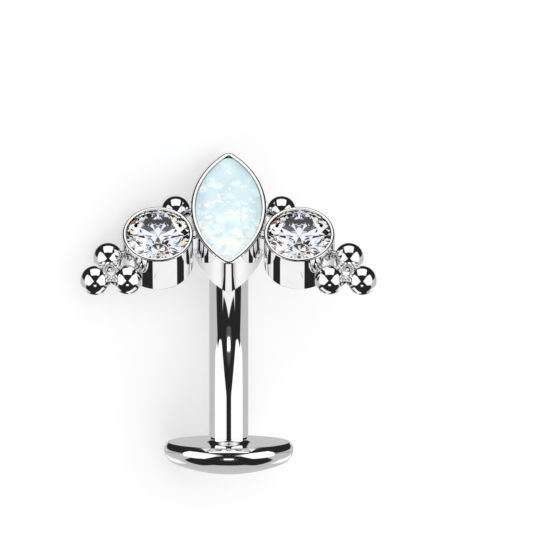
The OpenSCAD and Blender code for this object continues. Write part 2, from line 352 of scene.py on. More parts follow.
def shell(rings):
    """Vertices and faces of a closed skin over rings: squares between neighbouring rings, and fans
    that close the first and last rings to their middle points."""
    count, around = rings.shape[:2]
    vertices = np.vstack([rings.reshape(-1, 3), rings[0].mean(0), rings[-1].mean(0)])
    low = np.arange((count - 1) * around).reshape(count - 1, around)
    quads = np.stack([low, np.roll(low, -1, 1), np.roll(low, -1, 1) + around, low + around], -1)
    first, last = np.arange(around), np.arange(around) + (count - 1) * around
    start, end = np.full(around, count * around), np.full(around, count * around + 1)
    fans = np.vstack([
        np.stack([start, np.roll(first, -1), first], -1),
        np.stack([last, np.roll(last, -1), end], -1),
    ])
    return vertices, [quads.reshape(-1, 4), fans]


def make_piece(name, shells, material, body, node, smooth=True):
    """A mesh object of one or more closed shells, in place in the row frame. It rides on a body and
    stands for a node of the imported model."""
    offsets = np.cumsum([0] + [len(points) for points, _ in shells])
    vertices = np.vstack([points for points, _ in shells])
    faces = [part + offset for (_, parts), offset in zip(shells, offsets) for part in parts]
    widths = np.concatenate([np.full(len(part), part.shape[1]) for part in faces])
    loops = np.concatenate([part.ravel() for part in faces])
    mesh = bpy.data.meshes.new(name)
    mesh.vertices.add(len(vertices))
    mesh.vertices.foreach_set("co", vertices.astype(np.float32).ravel())
    mesh.loops.add(len(loops))
    mesh.loops.foreach_set("vertex_index", loops.astype(np.int32))
    mesh.polygons.add(len(widths))
    mesh.polygons.foreach_set("loop_start", (np.cumsum(widths) - widths).astype(np.int32))
    mesh.polygons.foreach_set("use_smooth", np.full(len(widths), smooth))
    mesh.update(calc_edges=True)
    mesh.validate()
    mesh.materials.append(material)
    piece = bpy.data.objects.new(name, mesh)
    bpy.context.scene.collection.objects.link(piece)
    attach(piece, body)
    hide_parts(node)


def disc_profile(bar):
    """Half section of the disc, from the foot of its dome to the bar's root. The dome is a wide arc,
    the turn a tight one that it meets on the same slope, and the shoulder leans in to the flat. The
    wide arc's radius is the one at which it holds the tight arc's circle and touches it."""
    turn_at = bar.disc_r - bar.disc_turn_r
    fall = bar.disc_dome
    dome_r = (turn_at**2 + fall**2 - bar.disc_turn_r**2) / (2 * (fall - bar.disc_turn_r))
    dome_edge = math.degrees(math.atan2(dome_r - fall, turn_at))
    flat_r = bar.disc_r - bar.disc_lip
    # The shoulder's overhang falls off with a power of the height left to the widest line
    share = np.linspace(0, 1, 17)[:-1] ** 1.5
    height = bar.disc_shoulder * (1 - share[::-1])
    out = flat_r + bar.disc_lip * (1 - (1 - height / bar.disc_shoulder) ** bar.disc_bulge)
    shoulder = np.column_stack([out, -height])
    # Four points round the edge between shoulder and flat, in steps of its rounding
    soft = bar.soft_edge
    crease = soft * np.array([(0.35, -0.35), (0, -0.08), (-0.5, 0), (-1.5, 0)]) + [flat_r, 0]
    flat_start = (crease[-1, 0] - 5 * SHARP, 0)
    root, fillet = bar.thickness / 2, bar.root_r
    level = -bar.disc_shoulder
    return path(
        arc((0, level + dome_r - fall), dome_r, -NEAR_AXIS, -dome_edge, 40),
        arc((turn_at, level), bar.disc_turn_r, -dome_edge, 0, 20),
        shoulder[shoulder[:, 1] < -0.6 * soft],
        crease,
        line(flat_start, (root + 1.2 * fillet, 0), 24),
        arc((root + fillet, fillet), fillet, -90, -180, 12),
    )


def bar_rings(bar, bend, around):
    """Rings of the whole bar: the disc's half section, then circles carried up the straight foot and
    round the bend, over the open end's rounded rim, and back down the inside of the bore."""
    r, bend_l = bar.thickness / 2, bar.bend_r * bend
    foot = line((r, bar.root_r * 1.1), (r, bar.foot), 12)
    bend_run = line((r, bar.foot), (r, bar.foot + bend_l), 72)
    end = bar.foot + bend_l + bar.tip
    rim = r - bar.edge
    mouth_r = bar.bore_r + bar.mouth
    # Up the last straight, over the rim, in along the mouth's slope and down the bore
    tip_run = path(
        line((r, bar.foot + bend_l), (r, end - bar.edge), 3),
        arc((rim, end - bar.edge), bar.edge, 0, 90, 14),
        line((rim, end), (mouth_r + 2 * SHARP, end), 5),
        line((mouth_r, end - SHARP), (bar.bore_r, end - bar.mouth), 3),
        line((bar.bore_r, end - 1.2 * bar.mouth), (bar.bore_r, end - bar.bore_depth), 24),
    )
    run = path(disc_profile(bar), foot, bend_run, tip_run)
    # The bore is straight, so its rings keep to the line of the open end
    straight = np.arange(len(run)) >= len(run) - len(tip_run)
    radius, past_foot = run[:, 0], run[:, 1] - bar.foot
    turn = np.where(straight, bend, np.clip(past_foot / bar.bend_r, 0, bend))
    past = np.where(straight, past_foot - bend_l, np.minimum(past_foot, 0))
    centre = np.column_stack([
        0 * turn,
        -bar.bend_r * (1 - np.cos(turn)) - past * np.sin(turn),
        bar.foot + bar.bend_r * np.sin(turn) + past * np.cos(turn),
    ])
    side = np.column_stack([0 * turn, np.cos(turn), np.sin(turn)])
    angle = np.linspace(0, 2 * math.pi, around, endpoint=False)[None, :, None]
    across = np.cos(angle) * np.array([1, 0, 0]) + np.sin(angle) * side[:, None]
    return centre[:, None] + radius[:, None, None] * across


class Marquise:
    """The pointed outline: two equal arcs that cross at the tips, where a small arc rounds them."""

    def __init__(self, top):
        half_l, half_w = top.marquise_l / 2, top.marquise_w / 2
        self.radius = (half_w**2 + half_l**2) / top.marquise_w
        self.offset = self.radius - half_w
        self.tip_r = top.tip_r

    def ring(self, inset, least_tip=2 * SHARP, side_steps=56, tip_steps=16):
        """Points round the outline drawn in by an inset, anticlockwise from the right side. The tip's
        arc has its centre on the long axis, where it touches both side arcs from inside."""
        side = self.radius - inset
        tip = max(self.tip_r - inset, least_tip)
        reach = math.sqrt((side - tip) ** 2 - self.offset**2)
        turn = math.degrees(math.atan2(reach, self.offset))
        right = arc((-self.offset, 0), side, -turn, turn, side_steps)[:-1]
        upper = arc((0, reach), tip, turn, 180 - turn, tip_steps)[:-1]
        return np.vstack([right, upper, -right, -upper])


def at_height(points, height):
    """Flat points, all lifted to one height."""
    return np.column_stack([points, np.full(len(points), height)])


def rim_edge(wall, bevel):
    """The outer edge of a rim as (inset, height), up from the outer side and inwards to the flat. Each
    stretch turns from one slope to the next over a length, given as a share of the wall, so the edge
    has a steep bevel and a shallow one with rounded corners between them."""
    # Slope at the start, slope at the end, and length
    stretches = [(90, 65, 0.073), (65, 65, 0.167), (65, 27, 0.165), (27, 27, 0.25), (27, 0, 0.052)]
    steps = 5
    slope = np.radians(np.concatenate([np.linspace(start, end, steps) for start, end, _ in stretches]))
    length = np.repeat([share * bevel * wall / steps for _, _, share in stretches], steps)[:, None]
    points = np.cumsum(length * np.column_stack([np.cos(slope), np.sin(slope)]), axis=0)
    return np.vstack([[0, 0], points]) - [0, points[-1, 1]]


def wall_profile(depth, wall, floor, bevel, flat_inset):
    """Section of a cup's wall as (inset, height): the back, a rounded foot, the outer side, a bevelled
    rim, and the inner side down to the floor. Straight stretches stop a little short of each
    rounding, so that the flats stay flat where the light plays on them."""
    inner, foot = 0.17 * wall, 0.3 * wall
    edge = rim_edge(wall, bevel)
    return path(
        line((flat_inset, -depth), (1.3 * foot, -depth), 4),
        arc((foot, -depth + foot), foot, -90, -180, 6),
        line((0, -depth + 1.5 * foot), (0, 1.2 * edge[0, 1]), 10),
        edge,
        line((edge[-1, 0] + 0.03 * wall, 0), (wall - 1.1 * inner, 0), 3),
        arc((wall - inner, -inner), inner, 90, 0, 6),
        line((wall, -inner * 1.6), (wall, floor), 6),
    )


def pointed_cup_rings(top, stones, outline):
    """Rings of the pointed cup: the pointed outline drawn in by each inset of the wall's section, at
    its height, with a flat floor under the opal."""
    floor = -stones.opal_depth - stones.gap
    section = wall_profile(
        top.marquise_depth, top.marquise_wall, floor, top.rim_bevel, 0.3 * top.marquise_w)
    return np.stack([at_height(outline.ring(inset), height) for inset, height in section])


def round_cup_rings(top, stones):
    """Rings of a round cup about Z, with its rim at height zero: the wall's section turned round, then
    a seat that keeps a gap to the stone's pavilion, and a pit for the stone's point."""
    inner = top.cup_r - top.cup_wall
    stone_r = inner - stones.gap
    slope = math.tan(stones.pavilion)
    seat = -stones.edge_sink - 2 * stones.girdle_share * stone_r - stones.gap
    seat_foot = seat - (inner - stones.pit_r) * slope
    pit = seat - stone_r * slope - stones.gap
    section = wall_profile(top.cup_depth, top.cup_wall, seat, top.rim_bevel, 0.9 * top.cup_r)
    profile = path(
        np.column_stack([top.cup_r - section[:, 0], section[:, 1]]),
        line((inner - SHARP, seat), (stones.pit_r, seat_foot), 8),
        line((stones.pit_r, seat_foot - SHARP), (stones.pit_r, pit), 2),
    )
    return revolved(profile, 144)


def tangent_neck(radius, far_radius, distance, waist, around):
    """Rings of a solder neck about Z, from one bead towards another or towards a flat wall. Its side
    is a hollow arc that touches both, so that the metal flows from one to the other: its centre lies
    as far from the bead's centre as both radii together. far_radius is the other bead's radius, or 0
    for a wall."""
    if far_radius:
        level = distance / 2
        fillet = (level**2 + waist**2 - radius**2) / (2 * (radius - waist))
    else:
        total = radius + distance - waist
        fillet = total - math.sqrt(total**2 - (waist**2 + distance**2 - radius**2))
        level = distance - fillet
    out = waist + fillet
    low = -math.degrees(math.atan2(level, out))
    high = -low if far_radius else 90
    side = arc((out, level), -fillet, low, high, 14)
    start, end = side[0] - [0, SOLDER_BITE], side[-1] + [0, SOLDER_BITE]
    inwards = np.array([0.3, 1])
    profile = path(line(inwards * start, start, 2), side, line(end, inwards * end, 2))
    return revolved(profile, around)


def laid_between(rings, start, end):
    """Rings drawn about Z, laid from one point towards another."""
    axis = unit(np.asarray(end) - start)
    side = unit(np.cross(axis, [0, 0, 1]))
    return np.asarray(start) + rings @ np.array([side, np.cross(axis, side), axis])


class BeadPlan:
    """Where the round cup and the four beads of the right side lie in the plane of the rims."""

    def __init__(self, top, outline):
        reach = outline.radius + top.cup_r + top.cup_gap
        self.cup = np.array([math.sqrt(reach**2 - top.cup_drop**2) - outline.offset, -top.cup_drop])
        self.arc_middle = np.array([-outline.offset, 0])
        bead_reach = top.cup_r + top.bead_r + top.bead_gap
        self.corner = self.crossing(
            bead_reach, self.arc_middle, outline.radius + top.bead_r + top.bead_gap)
        pair = top.bead_r + top.pair_gap / 2
        spread = math.asin(pair / bead_reach)
        outer = bead_reach * math.cos(spread) + math.sqrt((2 * top.bead_r + top.outer_gap) ** 2 - pair**2)
        self.trio = [
            self.polar(bead_reach, -top.trio_lean - spread),
            self.polar(bead_reach, -top.trio_lean + spread),
            self.polar(outer, -top.trio_lean),
        ]

    def polar(self, reach, angle):
        """The point at a distance and an angle from the cup's middle."""
        return self.cup + reach * np.array([math.cos(angle), math.sin(angle)])

    def crossing(self, reach, other, other_reach):
        """The upper point that lies at given distances from the cup's middle and another point."""
        run = other - self.cup
        distance = np.linalg.norm(run)
        ahead = run / distance
        foot = (distance**2 + reach**2 - other_reach**2) / (2 * distance)
        height = math.sqrt(reach**2 - foot**2)
        return self.cup + foot * ahead + height * np.array([ahead[1], -ahead[0]])


def in_plane(point, height):
    """A point of the plan at a height over the plane of the rims."""
    return np.array([point[0], point[1], height])


def bead_rings(top, plan):
    """Rings of one side's beads, which are arcs turned into balls, and of the solder necks that join
    them to the cups and to each other."""
    ball = revolved(arc((0, 0), top.bead_r, -NEAR_AXIS, NEAR_AXIS, 36), 72)
    level = -top.bead_sink
    rings = [ball + in_plane(at, level) for at in [plan.corner, *plan.trio]]
    to_wall = tangent_neck(top.bead_r, 0, top.bead_r + top.bead_gap, top.waist_r, 32)
    for at in [plan.corner, *plan.trio[:2]]:
        rings.append(laid_between(to_wall, in_plane(at, level), in_plane(plan.cup, level)))
    rings.append(laid_between(to_wall, in_plane(plan.corner, level), in_plane(plan.arc_middle, level)))
    for first, second in ((0, 1), (1, 2), (2, 0)):
        start, end = in_plane(plan.trio[first], level), in_plane(plan.trio[second], level)
        neck = tangent_neck(top.bead_r, top.bead_r, np.linalg.norm(end - start), top.waist_r, 32)
        rings.append(laid_between(neck, start, end))
    return rings


def seam_rings(top, plan, outline, half_width=0.25 * MM, hollow=0.03 * MM, low=-0.9, high=-0.25):
    """Rings of the solder between a round cup and the pointed one: a strip that fills the gap where
    they are nearest, with hollow sides, drawn in at its ends. Its thickness grows with the square of
    the way across, as the gap between two round walls does. low and high are shares of the depth."""
    to_pointed = unit(plan.arc_middle - plan.cup)
    sideways = np.array([-to_pointed[1], to_pointed[0]])
    middle = plan.cup + (top.cup_r + top.cup_gap / 2) * to_pointed
    bend = (1 / top.cup_r + 1 / outline.radius) / 2
    across = half_width * np.linspace(-1, 1, 13)
    half_gap = top.cup_gap / 2 + SOLDER_BITE + bend * across**2 / 2
    cup_side = np.column_stack([-half_gap, across])
    pointed_side = np.column_stack([half_gap, across])[::-1]
    edge = np.linspace(-1, 1, 9)[1:-1]
    upper = np.column_stack([half_gap[-1] * edge, half_width - hollow * np.cos(edge * math.pi / 2)])
    loop = np.vstack([cup_side, upper, pointed_side, -upper])[::-1]
    # Height as a share of the cup's depth, and size of the strip's section there
    levels = [
        (low, 0.7), (low + 0.02, 0.9), (low + 0.06, 1), (high - 0.06, 1), (high - 0.02, 0.9), (high, 0.7)]
    section = loop @ np.array([to_pointed, sideways])
    return np.stack([at_height(middle + size * section, level * top.cup_depth) for level, size in levels])


def pin_rings(top, step=3 * SHARP):
    """Rings of the pin about Z, which hangs down from height zero: its section is a round tip, a
    straight side and a wider collar at the root, and is turned round."""
    collar_foot = -top.collar_l
    profile = path(
        arc((0, -top.pin_l + top.pin_r), top.pin_r, -NEAR_AXIS, 0, 12),
        line((top.pin_r, -top.pin_l + 1.1 * top.pin_r), (top.pin_r, collar_foot - step), 10),
        line((top.pin_r + step / 2, collar_foot - step / 4), (top.collar_r - step / 2, collar_foot), 2),
        line((top.collar_r, collar_foot + step / 2), (top.collar_r, SOLDER_BITE), 4),
    )
    return revolved(profile, 48)


def opal_rings(top, stones, outline):
    """Rings of the opal: a flat back, a straight side up to the girdle, and a low dome. The dome's
    height at a share of the way from its middle to its edge is its rise times one less the square
    of that share, to a power a little under one. The upper tip is blunter than its cup, so the
    shadow of the gap shows there."""
    inset = top.marquise_wall + 0.3 * stones.gap
    sharp, blunt = outline.ring(inset, stones.lower_tip_r), outline.ring(inset, stones.upper_tip_r)
    edge = np.where(sharp[:, 1:] > 0, blunt, sharp)
    back, girdle = -stones.opal_depth, -stones.edge_sink
    step = 3 * SHARP
    sides = [(0.5, back), (0.96, back), (1, back + step), (1, girdle - step)]
    dome = [
        (share, girdle + stones.opal_rise * (1 - share**2) ** 0.85)
        for share in np.linspace(0.995, 0.02, 40)
    ]
    return np.stack([at_height(edge * share, height) for share, height in sides + dome])


def brilliant(radius, stones, arc_steps=4):
    """Vertices and faces of a round brilliant about Z, with its girdle's middle at height zero. Eight
    kites rise from the girdle to the table at the crown's slope and eight sink to the point at the
    pavilion's. Stars, upper halves and lower halves are the flat faces that fit between them, and
    the girdle is a true circle where it cuts the halves, so its edges run in shallow scallops."""
    eighth = math.pi / 4
    turn = np.arange(8) * eighth
    crown, pavilion = math.tan(stones.crown), math.tan(stones.pavilion)
    girdle = stones.girdle_share
    half = math.cos(eighth / 2)
    star = stones.table_share * half + stones.star_share * (1 - stones.table_share * half)
    lower = 1 - stones.lower_share

    def circle(share, angle, height):
        return np.column_stack([share * np.cos(angle), share * np.sin(angle), height + 0 * angle])

    table = circle(stones.table_share, turn, girdle + crown * (1 - stones.table_share))
    stars = circle(star, turn + eighth / 2, girdle + crown * (1 - star * half))
    lowers = circle(lower, turn + eighth / 2, -girdle - pavilion * (1 - lower * half))
    point = circle(0, np.zeros(1), -girdle - pavilion)
    around = 16 * arc_steps
    angle = np.arange(around) * 2 * math.pi / around
    # How far the circle stands out past the straight line between the ends of a half facet
    chord = math.cos(eighth / 4)
    bulge = np.cos(angle % (eighth / 2) - eighth / 4) - chord
    slope_up = crown * (1 - star * half) / ((1 - star) * chord)
    slope_down = pavilion * (1 - lower * half) / ((1 - lower) * chord)
    upper_edge = circle(1, angle, girdle - slope_up * bulge)
    lower_edge = circle(1, angle, slope_down * bulge - girdle)
    vertices = radius * np.vstack([table, stars, lowers, point, upper_edge, lower_edge])
    # Where each group of vertices starts: the table's eight come first
    first_star, first_low, tip, first_upper = 8, 16, 24, 25
    first_lower = first_upper + around
    each = np.arange(8)
    before, after = (each - 1) % 8, (each + 1) % 8
    main = each * 2 * arc_steps
    run = np.arange(arc_steps + 1)
    rise = (main[:, None] + run) % around
    fall = (main[:, None] + arc_steps + run) % around
    halves = np.vstack([rise, fall])
    owner = np.concatenate([each, each])[:, None]
    ring = np.arange(around)
    ahead = np.roll(ring, -1)
    return vertices, [
        each[None],
        np.column_stack([each, first_star + each, after]),
        np.column_stack([each, first_star + before, first_upper + main, first_star + each]),
        np.hstack([first_star + owner, first_upper + halves]),
        np.column_stack([first_lower + ring, first_lower + ahead, first_upper + ahead, first_upper + ring]),
        np.hstack([first_low + owner, first_lower + halves[:, ::-1]]),
        np.column_stack([np.full(8, tip), first_low + each, first_lower + main, first_low + before]),
    ]


class Wire:
    """One output of a node. Python's operators on it add Math nodes."""

    def __init__(self, nodes, socket):
        self.nodes, self.socket = nodes, socket

    def math(self, operation, *values):
        return self.nodes.add("ShaderNodeMath", {"operation": operation}, dict(enumerate(values)))

    def __add__(self, other):
        return self.math("ADD", self, other)

    def __radd__(self, other):
        return self.math("ADD", other, self)

    def __sub__(self, other):
        return self.math("SUBTRACT", self, other)

    def __rsub__(self, other):
        return self.math("SUBTRACT", other, self)

    def __mul__(self, other):
        return self.math("MULTIPLY", self, other)

    def __rmul__(self, other):
        return self.math("MULTIPLY", other, self)

    def between(self, low, high):
        """0 below low, 1 above high, and a smooth step from one to the other."""
        return self.nodes.add(
            "ShaderNodeMapRange", {"interpolation_type": "SMOOTHSTEP"},
            {"Value": self, "From Min": low, "From Max": high})

    def other(self, output):
        """Another output of the same node."""
        return Wire(self.nodes, self.socket.node.outputs[output])

    def maximum(self, other):
        """The larger of the two."""
        return self.math("MAXIMUM", self, other)

    def minimum(self, other):
        """The smaller of the two."""
        return self.math("MINIMUM", self, other)

    def __abs__(self):
        return self.math("ABSOLUTE", self)


class Nodes:
    """A material's or world's node tree, written as expressions."""

    def __init__(self, owner):
        owner.use_nodes = True
        self.tree = owner.node_tree
        self.tree.nodes.clear()

    def add(self, kind, settings=None, inputs=None, output=0):
        """Adds a node with its settings and the values or wires of its inputs, and gives an output."""
        node = self.tree.nodes.new(kind)
        for key, value in (settings or {}).items():
            setattr(node, key, value)
        for key, value in (inputs or {}).items():
            if isinstance(value, Wire):
                self.tree.links.new(value.socket, node.inputs[key])
            else:
                node.inputs[key].default_value = value
        return Wire(self, node.outputs[output]) if node.outputs else node

    def noise(self, place, scale, detail, **more):
        """Soft noise, with its scale in features for each unit of the place that it is read at."""
        inputs = {"Vector": place, "Scale": scale, "Detail": detail, **more}
        return self.add("ShaderNodeTexNoise", {}, inputs)

    def mix(self, factor, first, second):
        """One colour passing into another."""
        return self.add(
            "ShaderNodeMix", {"data_type": "RGBA"},
            {0: factor, 6: rgba(first), 7: rgba(second)}, output=2)


def rgba(colour):
    """A wire as it is, and a colour's three values with a full alpha."""
    return colour if isinstance(colour, Wire) else (*colour, 1)


def darker(colour, share):
    """A share of a colour."""
    return [share * value for value in colour]


def new_material(name):
    """A new material and its empty node tree."""
    material = bpy.data.materials.new(name)
    return material, Nodes(material)


def mirror_metal(finish):
    """Mirror-polished metal with the faint uneven lustre that a polishing wheel leaves."""
    material, nodes = new_material("mirror_metal")
    place = nodes.add("ShaderNodeTexCoord", output="Object")
    cloud = nodes.noise(place, 1400, 4)
    streak_place = nodes.add("ShaderNodeMapping", {}, {"Vector": place, "Scale": (9000, 1600, 3000)})
    streaks = nodes.noise(streak_place, 1, 2)
    roughness = 0.012 + 0.03 * cloud.between(0.45, 0.8) + 0.012 * streaks.between(0.55, 0.75)
    colour = nodes.mix(cloud.between(0.3, 0.8), finish.metal, darker(finish.metal, 0.96))
    shader = nodes.add("ShaderNodeBsdfPrincipled", {}, {
        "Base Color": colour, "Metallic": 1.0, "Roughness": roughness})
    nodes.add("ShaderNodeOutputMaterial", {}, {"Surface": shader})
    return material


def pale_opal(finish, lie):
    """Pale opal: a milky body, clouded grey-blue, with soft creamy flecks that crowd together in the
    lower half, and a few small sparks of yellow and green."""
    material, nodes = new_material("pale_opal")
    place = nodes.add("ShaderNodeTexCoord", output="Object")
    # From -1 at the lower tip to 1 at the upper one
    height = (dot(nodes, place, lie.face_up) - float(lie.rims @ lie.face_up)) * (1 / OPAL_HALF)
    # Scales are in features for each metre, so the clouds are 0.9 mm across and the flecks 0.3 mm
    cloud, wisp, tint = nodes.noise(place, 1100, 2), nodes.noise(place, 2100, 3), nodes.noise(place, 2600, 0)
    fleck = nodes.noise(place, 3100, 3, Roughness=0.62, Distortion=0.5)
    spark = nodes.add("ShaderNodeTexVoronoi", {}, {"Vector": place, "Scale": 3300}, output="Distance")
    chance = nodes.add("ShaderNodeTexWhiteNoise", {}, {"Vector": spark.other("Position")})
    # What is added to the noise low down, and taken from it high up
    crowd = 0.075 - 0.13 * height.between(-0.9, 0.7)
    milk = [min(1, value + 0.14) for value in finish.opal]
    body = nodes.mix(cloud.between(0.38, 0.62), finish.opal, darker(finish.opal, 0.93))
    milky = nodes.mix((wisp + crowd).between(0.48, 0.68), body, milk)
    cream = nodes.mix(tint.between(0.4, 0.6), finish.fleck, finish.pale_fleck)
    flecked = nodes.mix((fleck + crowd).between(0.535, 0.66), milky, cream)
    # A cell's middle is lit where the cell's chance is high, which one cell in eight has
    lit = (0.2 - spark).between(0, 0.12) * chance.between(0.86, 0.9)
    colour = nodes.mix(lit, flecked, finish.spark)
    shader = nodes.add("ShaderNodeBsdfPrincipled", {}, {
        "Base Color": colour, "Roughness": 0.2, "Coat Weight": 0.5, "Coat Roughness": 0.03})
    nodes.add("ShaderNodeOutputMaterial", {}, {"Surface": shader})
    return material


def cut_stone(finish):
    """Clear cut stone with a high refraction. Its fire is painted: a warm or cold tint in the stone's
    colour, which differs from facet to facet, stands in for the coloured flashes of split light. Noise read
    by the way that a facet faces is the same all over a flat facet."""
    material, nodes = new_material("cut_stone")
    facing = nodes.add("ShaderNodeTexCoord", output="Normal")
    # Painted fire: some facets get a warm or a cold tint in their colour, in place of light split into
    # colours
    painted_warm_tint = nodes.mix(nodes.noise(facing, 3.7, 0).between(0.62, 0.68), finish.stone, finish.warm_fire)
    colour = nodes.mix(nodes.noise(facing, 5.3, 0).between(0.63, 0.69), painted_warm_tint, finish.cold_fire)
    shader = nodes.add("ShaderNodeBsdfPrincipled", {}, {
        "Base Color": colour, "Roughness": 0.0, "IOR": 2.42, "Transmission Weight": 1.0,
        "Specular Tint": (0.35, 0.35, 0.35, 1)})
    nodes.add("ShaderNodeOutputMaterial", {}, {"Surface": shader})
    return material


def material_from(maker, *values):
    """The material that a maker makes, made the first time that it is asked for."""
    return bpy.data.materials.get(maker.__name__) or maker(*values)


class BELLYBAR_OT_bar(bpy.types.Operator):
    """Make the curved bar with its disc and bore"""

    bl_idname = "belly_bar.make_bar"
    bl_label = "Curved bar"

    def execute(self, context):
        settings = settings_of(context)
        lie = Lie(settings)
        metal = material_from(mirror_metal, settings.finish)
        rings = lie.standing(bar_rings(settings.bar, lie.bend, 160))
        make_piece("curved_bar", [shell(rings)], metal, "bar", "bar")
        return {"FINISHED"}


class BELLYBAR_OT_cups(bpy.types.Operator):
    """Make the pointed cup, the two round cups and the seams between them"""

    bl_idname = "belly_bar.make_cups"
    bl_label = "Cups"

    def execute(self, context):
        settings = settings_of(context)
        top, stones = settings.top, settings.stones
        lie = Lie(settings)
        metal = material_from(mirror_metal, settings.finish)
        outline = Marquise(top)
        pointed = shell(lie.at_rims(pointed_cup_rings(top, stones, outline)))
        make_piece("pointed_cup", [pointed], metal, "top", "setting")
        plan = BeadPlan(top, outline)
        round_cup = round_cup_rings(top, stones) + in_plane(plan.cup, 0)
        for side, parts in both_sides([round_cup, seam_rings(top, plan, outline)]):
            shells = [shell(lie.at_rims(rings)) for rings in parts]
            make_piece(side + "_cup", shells, metal, "top", "setting")
        return {"FINISHED"}


class BELLYBAR_OT_beads(bpy.types.Operator):
    """Make the beads beside the cups, with the solder between them"""

    bl_idname = "belly_bar.make_beads"
    bl_label = "Beads"

    def execute(self, context):
        settings = settings_of(context)
        top = settings.top
        lie = Lie(settings)
        metal = material_from(mirror_metal, settings.finish)
        for side, parts in both_sides(bead_rings(top, BeadPlan(top, Marquise(top)))):
            shells = [shell(lie.at_rims(rings)) for rings in parts]
            make_piece(side + "_beads", shells, metal, "top", "setting")
        return {"FINISHED"}


class BELLYBAR_OT_pin(bpy.types.Operator):
    """Make the pin on the back of the top, with its collar"""

    bl_idname = "belly_bar.make_pin"
    bl_label = "Pin"

    def execute(self, context):
        settings = settings_of(context)
        top = settings.top
        lie = Lie(settings)
        metal = material_from(mirror_metal, settings.finish)
        rings = pin_rings(top) + [0, 0, top.seat_gap]
        make_piece("pin", [shell(lie.at_end(rings))], metal, "top", "setting")
        return {"FINISHED"}


class BELLYBAR_OT_stones(bpy.types.Operator):
    """Make the opal and the two cut stones"""

    bl_idname = "belly_bar.make_stones"
    bl_label = "Stones"

    def execute(self, context):
        settings = settings_of(context)
        top, stones = settings.top, settings.stones
        lie = Lie(settings)
        outline = Marquise(top)
        opal = material_from(pale_opal, settings.finish, lie)
        dome = shell(lie.at_rims(opal_rings(top, stones, outline)))
        make_piece("opal_dome", [dome], opal, "top", "opal")
        clear = material_from(cut_stone, settings.finish)
        radius = top.cup_r - top.cup_wall - stones.gap
        level = -stones.edge_sink - stones.girdle_share * radius
        points, faces = brilliant(radius, stones)
        cup = BeadPlan(top, outline).cup
        for side, seat in (("right", cup), ("left", cup * [-1, 1])):
            cut = (lie.at_rims(points + in_plane(seat, level)), faces)
            make_piece(
                side + "_brilliant", [cut], clear, "top", side + "_stone", smooth=False)
        return {"FINISHED"}


# Where things stand round the part in the studio, as seen from the part standing on its disc. Each
# has its corners in degrees, round from the camera's side to the right and up from the disc's plane.
CEILING = [(-38, 41), (38, 41), (133, 57), (-133, 57)]
RIGHT_BOX = [(9, -2), (40, 31), (64, 38), (88, 37), (92, -20), (72, -28), (51, -34), (33, -23)]
LOW_DARK = [(0, -3), (71, -23), (104, -37), (-104, -37), (-71, -23)]
BACK_GAP = [(95, -75), (145, -44), (160, -14), (-160, -14), (-145, -44), (-95, -75)]
WALL_GLOW = [(120, -33), (146, -15), (164, -8), (168, -16), (138, -50)]
FRONT_LAMP = [(-9, -32), (9, -32), (9, -39), (-9, -39)]
# Dark spots that only the cut stones show: round to the right, up, and radius, in degrees
STONE_SPOTS = [(0, 50, 14), (-34, 28, 8), (34, 28, 8)]
# How dark those spots are, and the blots further off, from 0 for none to 1 for black
SPOT_DEPTH, BLOT_DEPTH = 0.92, 0.97
# How far the table's far edge stands over the disc's plane, in degrees
HORIZON = 9
# Brightness of the dark room and the low card, the table in mirrors, the boxes of light, the glowing
# wall behind, the lamp in front and the glow round it
DARK = 0.022
TABLE_GREY = 0.58
BOX_LIGHT = 1.15
WALL_LIGHT = 1.05
LAMP_LIGHT = 3
LAMP_GLOW = 0.1
# The soft lamp beside the camera: width and distance in metres, power in watts
LAMP_SIZE, LAMP_DISTANCE, LAMP_POWER = 0.16, 0.3, 0.2
# Brightness of the room for the camera and soft surfaces, and for what is seen through cut stones
SOFT_LIGHT = 0.78
STONE_LIGHT = 1.1

# The low card lies this far under the disc's flat face. Reflections from nearer than the first of
# the next two don't show it, and those from further than the second show it fully.
CARD_DROP = 1.5 * MM
CARD_NEAR, CARD_FAR = 6.4 * MM, 7 * MM
# Right half of its outline, to the right and away from the disc's middle, from front to back
CARD_EDGE = [(4.6, -7.4), (12.4, -4.4), (12.4, -3.2), (8.8, -3.2), (8.8, 2.6), (10.3, 4.9)]
# The white arrow on it: how much wider it gets for each step behind its waist and before it, how much
# narrower for each step back in its rear, and how far its point's edges run back for each step aside
WAIST_BACK, WAIST_FRONT, REAR_IN, POINT_BACK = 0.265, 0.245, 1.54, 0.53
# How much narrower than its waist the rear's slope makes it at the disc's middle, and how much
# narrower it stays behind that
REAR_MIDDLE, REAR_END = 1.56 * MM, 0.92 * MM
# Reflections from further than this show longer barbs, by so much for each step of the distance
LONG_WAY, BARB_GROWTH = 9 * MM, 2

# Where the camera looks: to the right, up in the picture and forwards from the disc's middle. The
# last is halfway in depth between the disc and the beads.
LOOK_AT = np.array([1.549, 7.197, 2.5]) * MM


def direction(lie, azimuth, elevation):
    """A direction in the row frame, from degrees round to the right and degrees up."""
    turn, rise = math.radians(azimuth), math.radians(elevation)
    front = math.cos(rise) * (math.sin(turn) * lie.right - math.cos(turn) * lie.away)
    return front + math.sin(rise) * lie.up


def dot(nodes, ray, axis):
    """The cosine between a ray and an axis."""
    return nodes.add(
        "ShaderNodeVectorMath", {"operation": "DOT_PRODUCT"}, {0: ray, 1: tuple(axis)}, output="Value")


def patch(nodes, lie, ray, corners, softness=0.012):
    """1 inside a patch of the sky and 0 outside it. Each edge is a plane through the part and two
    corners, so the patch has to be convex."""
    points = [direction(lie, *corner) for corner in corners]
    middle = unit(sum(points))
    mask = None
    for start, end in zip(points, points[1:] + points[:1]):
        normal = unit(np.cross(start, end))
        normal = normal if normal @ middle > 0 else -normal
        inside = dot(nodes, ray, normal).between(-softness, softness)
        mask = inside if mask is None else mask * inside
    return mask


def other_side(corners):
    """The same patch on the left."""
    return [(-azimuth, elevation) for azimuth, elevation in corners]


